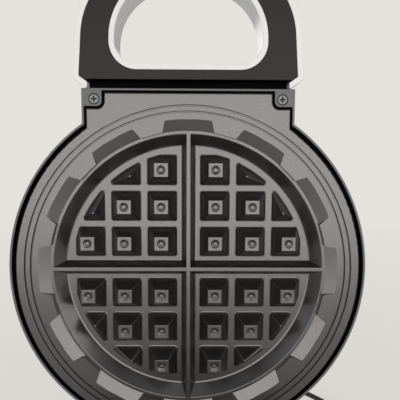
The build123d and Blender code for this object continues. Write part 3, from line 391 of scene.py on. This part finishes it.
finishes["plate_coating"] = plate_coating()
# Columns: dark, light, roughness, grain size, grain depth and, for bezels and handle faces, the depths of
# their painted gap shade.
for slot, recipe in {
    "bezel_plastic": (tone(0.10, 0.10, 0.102), tone(0.13, 0.13, 0.132), 0.36, 0.5, 0.008, (0.4, 1.6)),
    "black_trim": (tone(0.016, 0.015, 0.014), tone(0.022, 0.021, 0.020), 0.44, 0.6, 0.008, (1.0, 3.0)),
    "white_shell": (tone(0.805, 0.80, 0.78), tone(0.82, 0.815, 0.795), 0.27, 6.0, 0.002),
    "foot_rubber": (tone(0.022), tone(0.030), 0.72, 0.5, 0.03),
    "relief_rubber": (tone(0.018), tone(0.024), 0.50, 0.6, 0.015),
    "cord_jacket": (tone(0.016), tone(0.022), 0.42, 0.9, 0.01),
    "plug_plastic": (tone(0.016), tone(0.022), 0.40, 0.8, 0.015),
    "block_plastic": (tone(0.62, 0.59, 0.50), tone(0.68, 0.65, 0.57), 0.42, 0.8, 0.01),
    "board_plastic": (tone(0.16, 0.075, 0.03), tone(0.22, 0.105, 0.045), 0.50, 1.2, 0.01),
    "thermostat_body": (tone(0.055, 0.028, 0.016), tone(0.075, 0.04, 0.024), 0.38, 0.8, 0.012),
}.items():
    finishes[slot] = moulded(slot + "_finish", *recipe)
finishes["white_shell"].shader.inputs["Coat Weight"].default_value = 0.10
finishes["black_trim"].shader.inputs["Specular IOR Level"].default_value = 0.25
print("moulded finishes:", sorted(finishes))


# %% Metal, sleeve and glass finishes
def metal(name, dark, light, rough, stretch=(1, 1, 1), size=1.5, depth=0.008):
    """Bare metal: streaks or grain in its colour and its roughness."""
    finish = Finish(name, Metallic=1.0)
    streaks = finish.grain(size, 3, stretch)
    finish.feed(Base_Color=finish.blend(streaks, dark, light),
                Roughness=streaks * 0.12 + (rough - 0.06),
                Normal=finish.bumps(streaks, depth))
    return finish


def sleeve():
    """Braided sleeve: crossing bands along and around the lead."""
    finish = Finish("lead_sleeve_finish")
    bands = [finish.node("ShaderNodeTexWave", {"bands_direction": "DIAGONAL", "wave_profile": "SIN"},
                         {"Vector": finish.node("ShaderNodeVectorMath", {"operation": "MULTIPLY"},
                                                {0: finish.spot, 1: turn}),
                          "Scale": 320.0, "Distortion": 0.6}) for turn in ((1, 1, 1), (-1, 1, -1))]
    braid = bands[0] * bands[1]
    return finish.feed(Base_Color=finish.blend(braid, tone(0.45, 0.43, 0.38), tone(0.72, 0.70, 0.64)),
                       Roughness=braid * 0.1 + 0.6, Normal=finish.bumps(braid, 0.1))


def clear(name, thin, thick, rough):
    """Clear plastic or glass with a faint tint and a few soft scuffs."""
    finish = Finish(name, Transmission_Weight=0.92, IOR=1.49)
    scuffs = finish.grain(4, 2)
    return finish.feed(Base_Color=finish.blend(scuffs, thin, thick), Roughness=scuffs * 0.05 + rough)


for slot, recipe in {
    "screw_steel": (tone(0.12), tone(0.18), 0.34, (1, 1, 1), 0.8),
    "pin_steel": (tone(0.50), tone(0.60), 0.26, (0.15, 3, 3), 1.5),
    "element_steel": (tone(0.13, 0.11, 0.10), tone(0.30, 0.27, 0.25), 0.42, (1, 1, 1), 9.0),
    "clip_steel": (tone(0.52), tone(0.62), 0.34, (1, 4, 1), 1.5),
    "shield_sheet": (tone(0.56), tone(0.68), 0.36, (1, 1, 1), 11.0),
    "fuse_metal": (tone(0.60, 0.58, 0.53), tone(0.70, 0.68, 0.62), 0.30, (1, 3, 1), 1.2),
    "blade_brass": (tone(0.60, 0.44, 0.17), tone(0.70, 0.53, 0.24), 0.28, (3, 0.3, 3), 1.2),
}.items():
    finishes[slot] = metal(slot + "_finish", *recipe)
finishes["lead_sleeve"] = sleeve()
finishes["lens_clear"] = clear("lens_clear_finish", tone(0.90, 0.42, 0.26), tone(0.94, 0.50, 0.34), 0.06)
finishes["lamp_glass"] = clear("lamp_glass_finish", tone(0.93, 0.80, 0.66), tone(0.96, 0.86, 0.74), 0.04)
print(len(finishes), "finishes for slots", sorted(set(slot_of.values()) - set(finishes)) or "all covered")

# %% Put every finish on its CAD piece
for name, piece in nodes.items():
    piece.data.materials[0] = finishes[slot_of[name]].material
mains_cord.data.materials.append(finishes["cord_jacket"].material)

# %% [markdown]
# ## Softer edges
# A CAD solid has razor edges, and a real moulding or casting never does: its edges catch
# a thin line of light. The CAD mesh itself isn't touched. A copy is welded, its flat
# facets are merged, and a bevel rounds its edges by a radius that suits the piece.

# %% Welded copies and their edges
WELD = 0.002 * MM
FLAT = radians(0.5)
SHARP_TURN, SOFT_TURN = radians(18), radians(18.5)


def welded(node):
    """A bmesh of a CAD piece with its loose triangles joined."""
    shape = bmesh.new()
    shape.from_mesh(nodes[node].data)
    bmesh.ops.remove_doubles(shape, verts=shape.verts, dist=WELD)
    return shape


def placed(name, shape, stand=Matrix.Identity(4)):
    """Puts a bmesh into the scene as a new piece."""
    mesh = bpy.data.meshes.new(name)
    shape.to_mesh(mesh)
    shape.free()
    mesh.transform(stand)
    piece = bpy.data.objects.new(name, mesh)
    bpy.context.scene.collection.objects.link(piece)
    return piece


def evaluated(piece):
    """A plain mesh of a piece with its modifiers applied."""
    graph = bpy.context.evaluated_depsgraph_get()
    return bpy.data.meshes.new_from_object(piece.evaluated_get(graph))


def settled(piece, node, extra_creases=None):
    """Applies a piece's modifiers, shades it, and lets it stand for its CAD node."""
    piece.data = evaluated(piece)
    piece.modifiers.clear()
    for polygon in piece.data.polygons:
        polygon.use_smooth = True
    piece.data.set_sharp_from_angle(angle=SOFT_TURN)
    if extra_creases:
        extra_creases(piece.data, stands[body_of[node]])
    even = piece.modifiers.new("even", "WEIGHTED_NORMAL")
    even.keep_sharp = True
    bpy.context.view_layer.update()
    mesh = evaluated(piece)
    piece.modifiers.clear()
    piece.data = mesh
    mesh.materials.clear()
    mesh.materials.append(finishes[slot_of[node]].material)
    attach(piece, body_of[node])
    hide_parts(node)
    print(f"{piece.name}: {len(mesh.polygons)} faces")


def rounded(node, radius, change=None):
    """The piece that stands for a CAD node, its edges rounded by a radius in mm."""
    shape = welded(node)
    bmesh.ops.dissolve_limit(shape, angle_limit=FLAT, verts=shape.verts, edges=shape.edges)
    if change:
        change(shape)
    weight = shape.edges.layers.float.new("bevel_weight_edge")
    for edge in shape.edges:
        edge[weight] = float(len(edge.link_faces) == 2 and edge.calc_face_angle(0) > SHARP_TURN)
    piece = placed(node + "_cast", shape)
    bevel = piece.modifiers.new("edges", "BEVEL")
    bevel.limit_method, bevel.offset_type = "WEIGHT", "OFFSET"
    bevel.width, bevel.segments = radius * MM, 2
    bevel.use_clamp_overlap = False
    bevel.miter_outer = "MITER_ARC"
    settled(piece, node)


# %% [markdown]
# ## Cooking plates
# Each plate is one casting: a dished cavity, a cross of two ridges and a field of square
# studs, each stud with a round dimple and a small pip. What makes it look cast is that
# no edge is sharp: feet run into the floor with a fillet, crests and corners are round.
# A bevel can't do that where so many shapes meet, so the cavity is made again: studs and
# ridges are stacks of rounded outlines, the bowl is a turned profile, and booleans put
# them into a welded copy of the CAD casting, which keeps its rim, ring and back.

# %% Sizes of the cast pattern, in millimetres
STUD_PITCH, STUD_OFFSET = 26.0, 19.0
STUD_FOOT_HALF, STUD_TOP_HALF, STUD_HEIGHT = 10.5, 4.9, 11.0
STUD_FOOT_REACH, STUD_TOP_REACH, CORNER_TOP_REACH = 84.0, 79.8, 78.7
RIDGE_FOOT_HALF, RIDGE_TOP_HALF, RIDGE_HEIGHT = 4.7, 1.45, 8.0
FLOOR_RADIUS, FLOOR_FILLET, LIP_RADIUS, LIP_DEPTH = 89.0, 2.2, 96.0, 3.0
STUD_FOOT_CORNER, STUD_TOP_CORNER, RIDGE_CORNER = 1.7, 0.5, 0.6
STUD_FOOT_ROUND, STUD_TOP_ROUND = 1.2, 0.45
RIDGE_FOOT_ROUND, RIDGE_TOP_ROUND, RIDGE_END_SINK = 1.0, 0.7, 0.9
LIP_ROUND = 0.7
ROUND_STEPS, CIRCLE_STEPS = 5, 192
FOOT_SINK = 0.6
AIR_ABOVE = 8.0
CUT = 0.02
GROOVE_RADII = (111.0, 115.2)
GROOVE_PROFILE = ((-0.70, 0.02), (-0.46, -0.22), (-0.42, -1.2), (0.42, -1.2), (0.46, -0.22), (0.70, 0.02))
TEETH_RADII, TEETH_LEVELS, TEETH_TURN = (97.4, 107.5), (-4, 0.1), radians(4)
PLATE_DEPTHS = {"upper_plate": 11.0, "lower_plate": 27.0}
DIMPLE_RINGS = ((3.3, 0.0), (3.05, -0.10), (2.6, -0.42), (2.15, -0.68), (1.75, -0.80), (1.62, -0.66),
                (1.45, -0.24), (1.25, -0.08), (0.95, -0.02), (0.4, 0.0))


# %% Rounded outlines
FAR_AWAY = 1e6
TIE_BREAK = 1e-3


def outline(half, centre, reach, rounding, offset, steps):
    """A rectangle trimmed by a circle about the origin, its corners rounded, then offset.

    Every direction gets the point of the smaller, sharp outline that lies furthest that
    way, moved on by rounding and offset, so all outlines have the same count of points.
    """
    inner = (half[0] - rounding, half[1] - rounding)
    limit = reach - rounding if reach else FAR_AWAY
    corners = [Vector((centre[0] + x * inner[0], centre[1] + y * inner[1]))
               for x in (-1, 1) for y in (-1, 1)]
    marks = [corner for corner in corners if corner.length <= limit]
    for axis in (0, 1):
        for side in (-1, 1):
            level = centre[axis] + side * inner[axis]
            if abs(level) < limit:
                across = (limit ** 2 - level ** 2) ** 0.5
                for cross in (-across, across):
                    if abs(cross - centre[1 - axis]) <= inner[1 - axis]:
                        marks.append(Vector((level, cross) if axis == 0 else (cross, level)))
    points = []
    for quarter in range(4):
        lean = Vector((cos((quarter + 0.5) * pi / 2), sin((quarter + 0.5) * pi / 2))) * TIE_BREAK
        for step in range(steps + 1):
            angle = (quarter + step / steps) * pi / 2
            way = Vector((cos(angle), sin(angle)))
            arc = way * limit
            held = [arc] if all(abs(arc[i] - centre[i]) <= inner[i] for i in (0, 1)) else []
            best = max(marks + held, key=lambda mark: mark.dot(way + lean))
            points.append(best + way * (rounding + offset))
    return points


def side_steps(height, run, foot, crest, count=ROUND_STEPS - 1):
    """Pairs of height and offset that round the foot and the crest of a sloping side."""
    slope = atan2(height, run)
    foot_run, crest_run = foot * tan(slope / 2), crest * tan(slope / 2)
    steps = [(-FOOT_SINK, foot_run)]
    for i in range(count + 1):
        turn = slope * i / count
        z = foot - foot * cos(turn)
        steps.append((z, foot_run - foot * sin(turn) + z * run / height))
    for i in range(count + 1):
        turn = slope * (1 - i / count)
        z = height - crest + crest * cos(turn)
        steps.append((z, crest * sin(turn) - crest_run - (height - z) * run / height))
    return steps


def stacked(name, levels, stand=Matrix.Identity(4), ring=False):
    """A closed mesh from outlines of equal count, stacked upwards or round into a ring."""
    shape = bmesh.new()
    rings = [[shape.verts.new((point[0], point[1], z)) for point in points] for z, points in levels]
    for low, high in zip(rings, rings[1:] + rings[:ring]):
        for i in range(len(low)):
            j = (i + 1) % len(low)
            shape.faces.new((low[i], low[j], high[j], high[i]))
    if not ring:
        shape.faces.new(rings[0])
        shape.faces.new(rings[-1])
    bmesh.ops.remove_doubles(shape, verts=shape.verts, dist=WELD / MM)
    bmesh.ops.recalc_face_normals(shape, faces=shape.faces)
    return placed(name, shape, stand @ Matrix.Scale(MM, 4))


def circle(radius):
    """Points round a circle about the plate's centre."""
    angles = [2 * pi * i / CIRCLE_STEPS for i in range(CIRCLE_STEPS)]
    return [(radius * cos(angle), radius * sin(angle)) for angle in angles]


# %% Studs
def stud(name, centre, steps, dimple, top_reach=STUD_TOP_REACH):
    """One stud, trimmed where the pattern ends, with its dimple and pip."""
    run = STUD_FOOT_HALF - STUD_TOP_HALF
    levels = []
    for z, offset in side_steps(STUD_HEIGHT, run, STUD_FOOT_ROUND, STUD_TOP_ROUND):
        share = min(max(z / STUD_HEIGHT, 0), 1)
        half = STUD_FOOT_HALF - run * share
        reach = STUD_FOOT_REACH + (top_reach - STUD_FOOT_REACH) * share
        corner = STUD_FOOT_CORNER + (STUD_TOP_CORNER - STUD_FOOT_CORNER) * share
        levels.append((z, outline((half, half), centre, reach, corner, offset, steps)))
    angles = [(quarter + step / steps) * pi / 2 for quarter in range(4) for step in range(steps + 1)]
    for radius, z in DIMPLE_RINGS if dimple else ():
        ring = [(centre[0] + radius * cos(angle), centre[1] + radius * sin(angle)) for angle in angles]
        levels.append((STUD_HEIGHT + z, ring))
    return stacked(name, levels)


near, middle, far = (STUD_OFFSET + i * STUD_PITCH for i in range(3))
EDGE_PLACES = (((far, near), True, STUD_TOP_REACH), ((near, far), True, STUD_TOP_REACH),
               ((far, middle), False, CORNER_TOP_REACH), ((middle, far), False, CORNER_TOP_REACH))
whole_stud = stud("whole_stud", (0, 0), 7, True)
edge_studs = [stud(f"edge_stud_{i}", place, 14, dimple, top_reach)
              for i, (place, dimple, top_reach) in enumerate(EDGE_PLACES)]
print("a whole stud has", len(whole_stud.data.polygons), "faces")


# %% [markdown]
# The studs repeat on a grid in every quarter of the plate, which is what Geometry Nodes
# are for: the tree puts the whole stud on a grid of four places, adds the four trimmed
# studs at the pattern's edge, and turns that quarter three times more.

# %% The tree of the stud field
def stud_tree():
    """Grid of whole studs, four edge studs, and that quarter turned round the plate."""
    tree = bpy.data.node_groups.new("stud_field", "GeometryNodeTree")
    tree.interface.new_socket("Geometry", in_out="OUTPUT", socket_type="NodeSocketGeometry")
    edge_names = [piece.name for piece in edge_studs]
    for name, kind in [("Pitch", "Float"), ("Offset", "Float"), ("Finish", "Material"), ("Whole", "Object"),
                       *((name, "Object") for name in edge_names)]:
        tree.interface.new_socket(name, in_out="INPUT", socket_type="NodeSocket" + kind)
    given = tree.nodes.new("NodeGroupInput").outputs

    def add(kind, output, **sockets):
        """Adds a node, wires or sets its sockets, and gives back one output."""
        node = tree.nodes.new(kind)
        for key, value in sockets.items():
            socket = node.inputs[key.replace("_", " ")]
            for item in value if isinstance(value, list) else [value]:
                if isinstance(item, bpy.types.NodeSocket):
                    tree.links.new(item, socket)
                else:
                    socket.default_value = item
        return node.outputs[output]

    grid = add("GeometryNodeMeshGrid", "Mesh", Size_X=given["Pitch"], Size_Y=given["Pitch"],
               Vertices_X=2, Vertices_Y=2)
    half = tree.nodes.new("ShaderNodeMath")
    half.operation = "MULTIPLY_ADD"
    tree.links.new(given["Pitch"], half.inputs[0])
    half.inputs[1].default_value = 0.5
    tree.links.new(given["Offset"], half.inputs[2])
    corner = add("ShaderNodeCombineXYZ", "Vector", X=half.outputs[0], Y=half.outputs[0])
    places = add("GeometryNodeTransform", "Geometry", Geometry=grid, Translation=corner)
    whole = add("GeometryNodeObjectInfo", "Geometry", Object=given["Whole"])
    parts = [add("GeometryNodeInstanceOnPoints", "Instances", Points=places, Instance=whole)]
    parts += [add("GeometryNodeObjectInfo", "Geometry", Object=given[name]) for name in edge_names]
    quarter = add("GeometryNodeJoinGeometry", "Geometry", Geometry=parts)
    turned = [add("GeometryNodeTransform", "Geometry", Geometry=quarter, Rotation=(0, 0, turn * pi / 2))
              for turn in range(4)]
    field = add("GeometryNodeJoinGeometry", "Geometry", Geometry=turned)
    solid = add("GeometryNodeRealizeInstances", "Geometry", Geometry=field)
    finished = add("GeometryNodeSetMaterial", "Geometry", Geometry=solid, Material=given["Finish"])
    tree.links.new(finished, tree.nodes.new("NodeGroupOutput").inputs[0])
    return tree


def grown(name, tree, inputs, stand):
    """Runs a tree on a new object and keeps what it made as a plain mesh."""
    piece = bpy.data.objects.new(name, bpy.data.meshes.new(name))
    bpy.context.scene.collection.objects.link(piece)
    modifier = piece.modifiers.new(name, "NODES")
    modifier.node_group = tree
    for item in tree.interface.items_tree:
        if item.in_out == "INPUT":
            modifier[item.identifier] = inputs[item.name]
    mesh = evaluated(piece)
    piece.modifiers.clear()
    mesh.transform(stand)
    piece.data = mesh
    print(f"{name}: {len(mesh.polygons)} faces")
    return piece


stud_field_tree = stud_tree()


# %% Ridges, bowl and grooves
def ridges(node, stand):
    """The two crossing ridges, their ends sunk in the sloping wall."""
    rise = PLATE_DEPTHS[node] - LIP_DEPTH
    run = RIDGE_FOOT_HALF - RIDGE_TOP_HALF
    bars = []
    for along in (0, 1):
        levels = []
        for z, offset in side_steps(RIDGE_HEIGHT, run, RIDGE_FOOT_ROUND, RIDGE_TOP_ROUND):
            share = min(max(z / RIDGE_HEIGHT, 0), 1)
            wide = RIDGE_FOOT_HALF - run * share
            long = FLOOR_RADIUS + (LIP_RADIUS - FLOOR_RADIUS) * z / rise + RIDGE_END_SINK
            half = (wide, long) if along else (long, wide)
            levels.append((z, outline(half, (0, 0), None, RIDGE_CORNER, offset, 3)))
        bars.append(stacked(f"{node}_ridge_{along}", levels, stand))
    return bars


def bowl(node, stand):
    """The air of the cavity: flat floor, fillet, sloping wall and the rounded lip."""
    rise = PLATE_DEPTHS[node] - LIP_DEPTH
    slope = atan2(rise, LIP_RADIUS - FLOOR_RADIUS)
    foot_run, lip_run = FLOOR_FILLET * tan(slope / 2), LIP_ROUND * tan(slope / 2)
    profile = []
    for i in range(ROUND_STEPS + 2):
        turn = slope * i / (ROUND_STEPS + 1)
        profile.append((FLOOR_RADIUS - foot_run + FLOOR_FILLET * sin(turn), FLOOR_FILLET * (1 - cos(turn))))
    for i in range(ROUND_STEPS + 1):
        turn = slope * (1 - i / ROUND_STEPS)
        profile.append((LIP_RADIUS + lip_run - LIP_ROUND * sin(turn), rise - LIP_ROUND * (1 - cos(turn))))
    profile.append((LIP_RADIUS + lip_run, rise + AIR_ABOVE))
    return stacked(node + "_bowl", [(z - CUT, circle(radius + CUT)) for radius, z in profile], stand)


def grooves(node, stand):
    """Cutters for the two fine circles of the flange, each with a small chamfer."""
    flange = PLATE_DEPTHS[node]
    return [stacked(f"{node}_groove_{i}",
                    [(flange + z, circle(radius + across)) for across, z in GROOVE_PROFILE],
                    stand, ring=True) for i, radius in enumerate(GROOVE_RADII)]


# %% Put the casting together
def creased(mesh, stand):
    """Marks every real edge of the toothed ring as sharp."""
    local = stand.inverted()
    shape = bmesh.new()
    shape.from_mesh(mesh)
    for edge in shape.edges:
        spots = [(local @ vert.co) / MM for vert in edge.verts]
        if all(TEETH_RADII[0] < spot.xy.length < TEETH_RADII[1]
               and TEETH_LEVELS[0] < spot.z < TEETH_LEVELS[1] for spot in spots):
            edge.smooth = edge.smooth and edge.calc_face_angle(0) < TEETH_TURN
    shape.to_mesh(mesh)
    shape.free()


def cast_plate(node):
    """The CAD casting with its cavity cut free and filled with ridges and studs again."""
    stand = stands[body_of[node]] @ Matrix.Translation((0, 0, -PLATE_DEPTHS[node] * MM))
    piece = placed(node + "_cast", welded(node))
    studs = grown(node + "_studs", stud_field_tree, {
        "Pitch": STUD_PITCH * MM, "Offset": STUD_OFFSET * MM, "Finish": finishes["plate_coating"].material,
        "Whole": whole_stud, **{stud.name: stud for stud in edge_studs}}, stand)
    tools = [("DIFFERENCE", cutter) for cutter in [bowl(node, stand), *grooves(node, stand)]]
    tools += [("UNION", bar) for bar in ridges(node, stand)]
    for operation, tool in tools + [("UNION", studs)]:
        cut = piece.modifiers.new(tool.name, "BOOLEAN")
        cut.operation, cut.object, cut.solver = operation, tool, "MANIFOLD"
    settled(piece, node, creased)
    for tool in [studs] + [tool for _, tool in tools]:
        bpy.data.objects.remove(tool)


for node in PLATE_DEPTHS:
    cast_plate(node)
for template in [whole_stud, *edge_studs]:
    bpy.data.objects.remove(template)

# %% [markdown]
# ## Moulded pieces and screws
# Shells, bezels and handle faces get one small radius each, as their moulds would give.
# The crosses of the screws run to a point inside, so that they read as dark.

# %% Moulded pieces
SOFT_EDGES = {
    "upper_bezel": 0.25, "lower_bezel": 0.25,
    "upper_handle": 0.35, "lower_handle": 0.35,
    "upper_handle_insert": 0.30, "lower_handle_insert": 0.30,
    "lid_cover": 0.35, "base_housing": 0.35, "bottom_cover": 0.3,
    "rubber_feet": 0.4,
}
for node, radius in SOFT_EDGES.items():
    rounded(node, radius)

# %% Screws with sunk crosses
CROSS_CORNERS = 12
CROSS_SINK = 0.9
SCREW_EDGE = 0.12


def sunk_crosses(shape):
    """Draws the middle of every cross recess down, as a screwdriver's tip needs it."""
    crosses = [face for face in shape.faces if len(face.verts) == CROSS_CORNERS]
    bmesh.ops.poke(shape, faces=crosses, offset=-CROSS_SINK * MM)
    print(len(crosses), "crosses")


for node in ("upper_bezel_screws", "lower_bezel_screws", "bottom_cover_screws"):
    rounded(node, SCREW_EDGE, sunk_crosses)

# %% Update the scene
bpy.context.view_layer.update()
